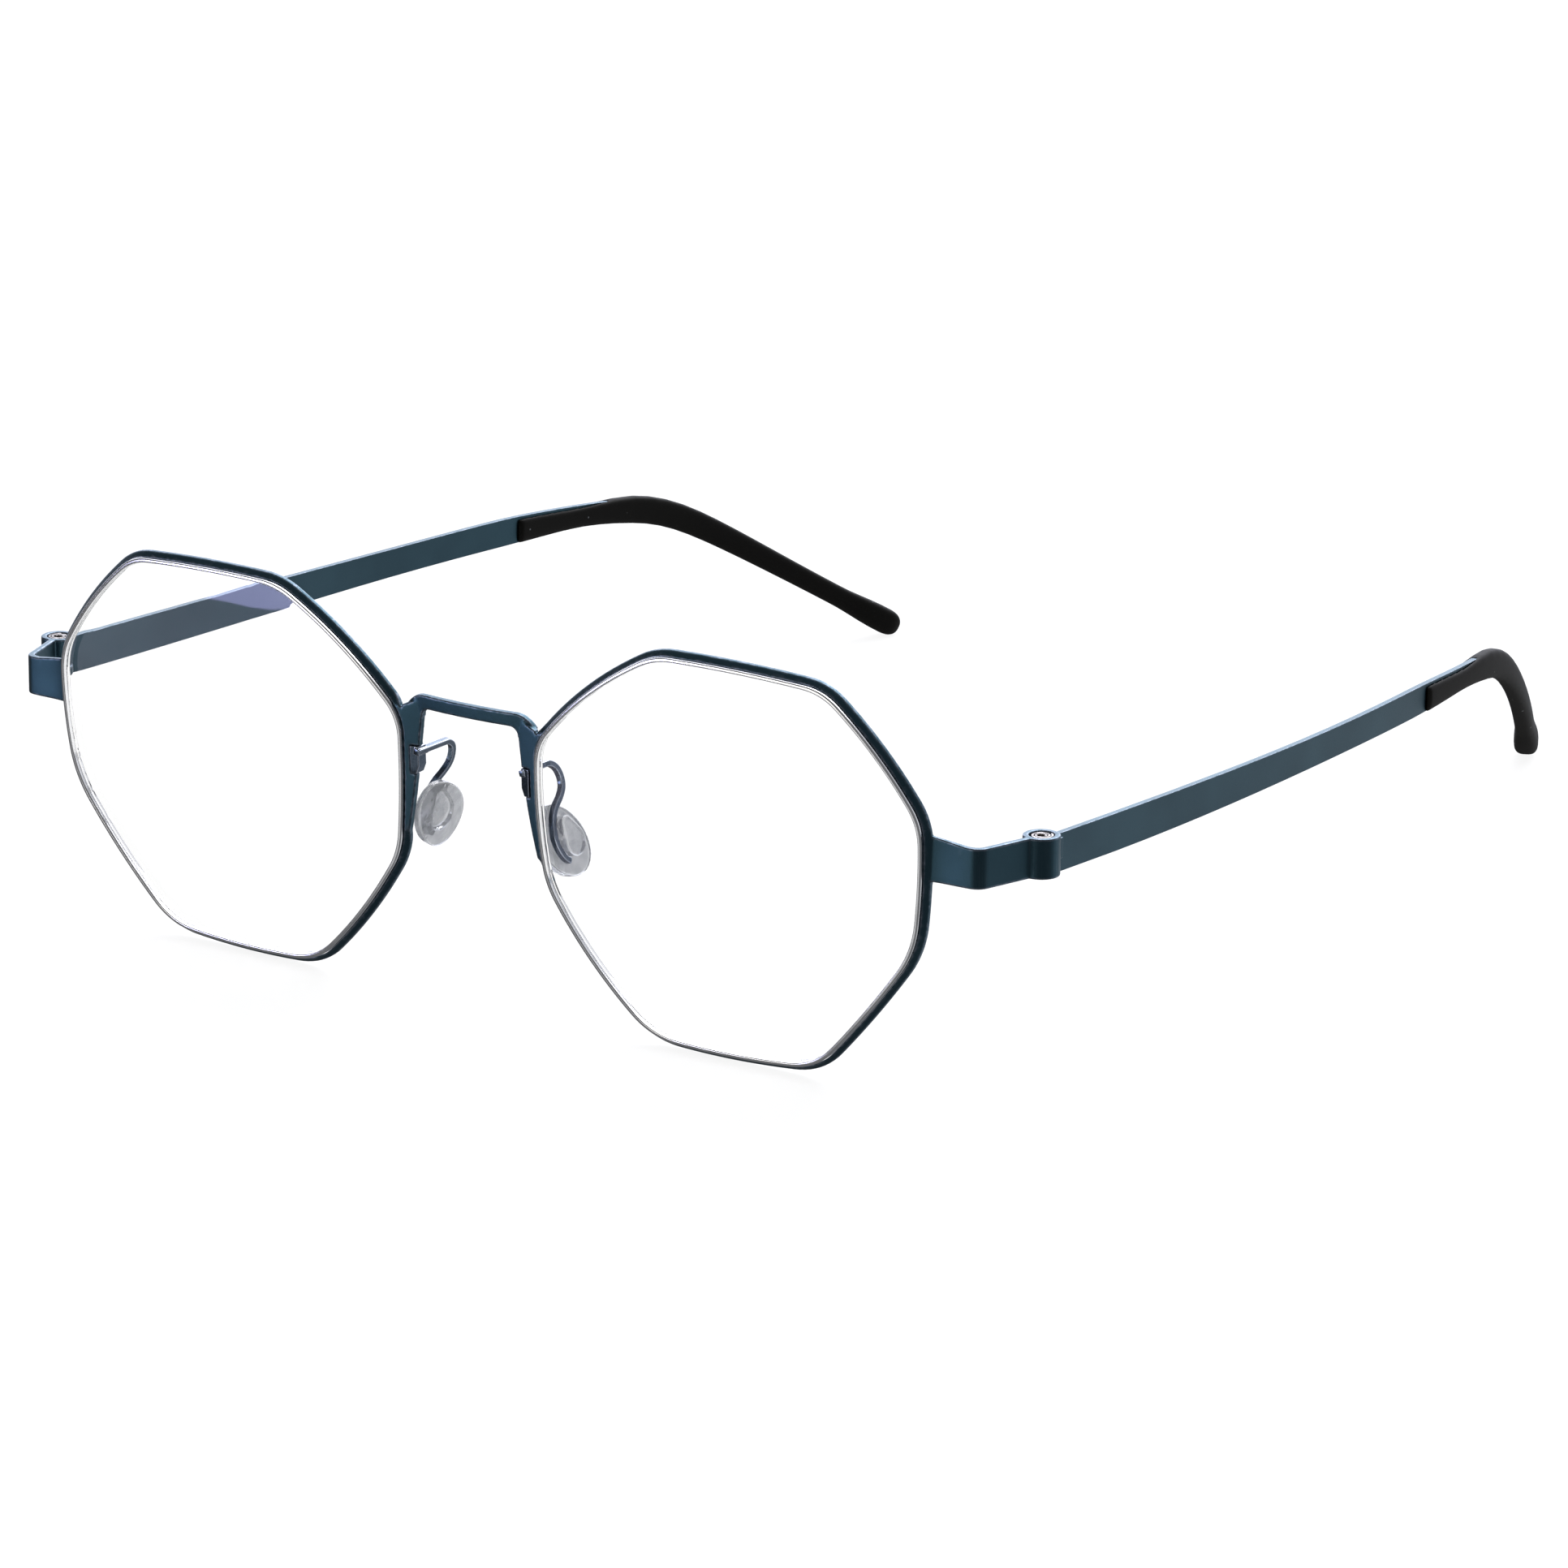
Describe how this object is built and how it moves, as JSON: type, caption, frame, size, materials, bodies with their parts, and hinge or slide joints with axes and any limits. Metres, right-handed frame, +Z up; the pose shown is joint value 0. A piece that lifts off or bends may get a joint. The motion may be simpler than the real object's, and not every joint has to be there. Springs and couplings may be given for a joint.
{
  "type": "geometric eyeglasses",
  "caption": "Octagonal sheet-metal eyeglasses with inner lens rims, silicone nose pads and screwless hinges on which both temples fold in.",
  "frame": {"origin": "on the table under the middle of the bridge, in line with the deepest front of the lens dish", "axes": "+X towards the side nearer the viewer's right, +Y back along the temples to the ears, +Z up from the table that rims and tips stand on"},
  "size_m": [0.1342, 0.1556, 0.045],
  "materials": {
    "painted_front": "satin dark teal",
    "painted_temple": "satin dark teal",
    "silver_rim": "polished",
    "clear_lens": "clear",
    "arm_steel": "dark polished",
    "silicone": "clear silicone",
    "coil_steel": "bare",
    "black_sleeve": "matte black"
  },
  "bodies": {
    "front": {"front_frame": "painted_front", "inner_rim_right": "silver_rim", "inner_rim_left": "silver_rim", "lens_right": "clear_lens", "lens_left": "clear_lens", "pad_arm_right": "arm_steel", "pad_arm_left": "arm_steel", "nose_pad_right": "silicone", "nose_pad_left": "silicone"},
    "right_temple": {"temple_right": "painted_temple", "hinge_coil_right": "coil_steel", "temple_tip_right": "black_sleeve"},
    "left_temple": {"temple_left": "painted_temple", "hinge_coil_left": "coil_steel", "temple_tip_left": "black_sleeve"}
  },
  "joints": [
    {"name": "right_fold", "type": "hinge", "parent": "front", "child": "right_temple", "pos_m": [0.06506, 0.0118, 0.0267], "axis": [0, 0, 1], "range_deg": [0, 76]},
    {"name": "left_fold", "type": "hinge", "parent": "front", "child": "left_temple", "pos_m": [-0.06506, 0.0118, 0.0267], "axis": [0, 0, -1], "range_deg": [0, 86]}
  ]
}
